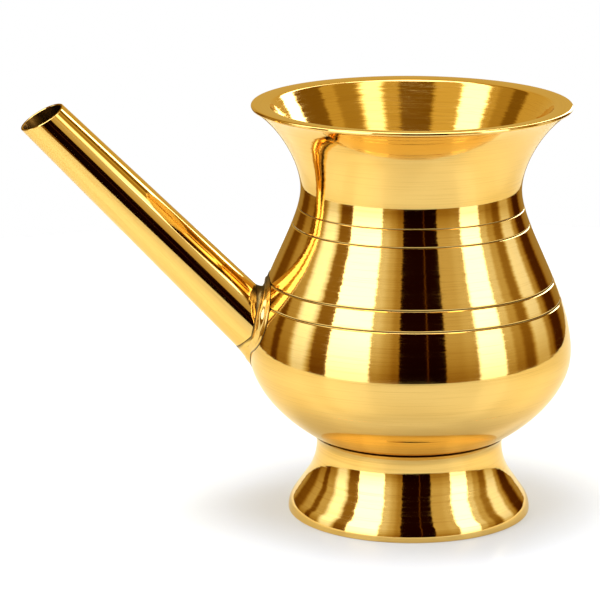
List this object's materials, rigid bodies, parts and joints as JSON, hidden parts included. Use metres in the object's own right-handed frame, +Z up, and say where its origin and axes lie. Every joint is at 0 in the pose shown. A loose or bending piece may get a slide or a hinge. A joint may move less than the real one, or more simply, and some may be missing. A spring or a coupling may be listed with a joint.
{
  "type": "spouted lota",
  "caption": "Round-bellied polished brass water vessel with a flared rim, a hollow pedestal foot and a straight slanting pouring spout.",
  "frame": {"origin": "on the table under the middle of the whole length, spout included; the vessel's own axis is upright and stands 34 mm from it towards +X", "axes": "+Z up along the vessel's axis, -X the way the spout points, -Y the side seen in front with the spout to the left"},
  "size_m": [0.1672, 0.0984, 0.127],
  "materials": {
    "polished_brass": "lathe turned and buffed to a mirror, with fine turning lines that run round it",
    "drawn_brass": "rolled sheet, buffed along the tube",
    "brazing_metal": "as melted, filed and partly buffed"
  },
  "bodies": {
    "root": {"lower_bowl": "polished_brass", "upper_body": "polished_brass", "belly_braze": "brazing_metal", "foot": "polished_brass", "foot_braze": "brazing_metal", "spout": "drawn_brass", "spout_braze": "brazing_metal"}
  },
  "joints": []
}
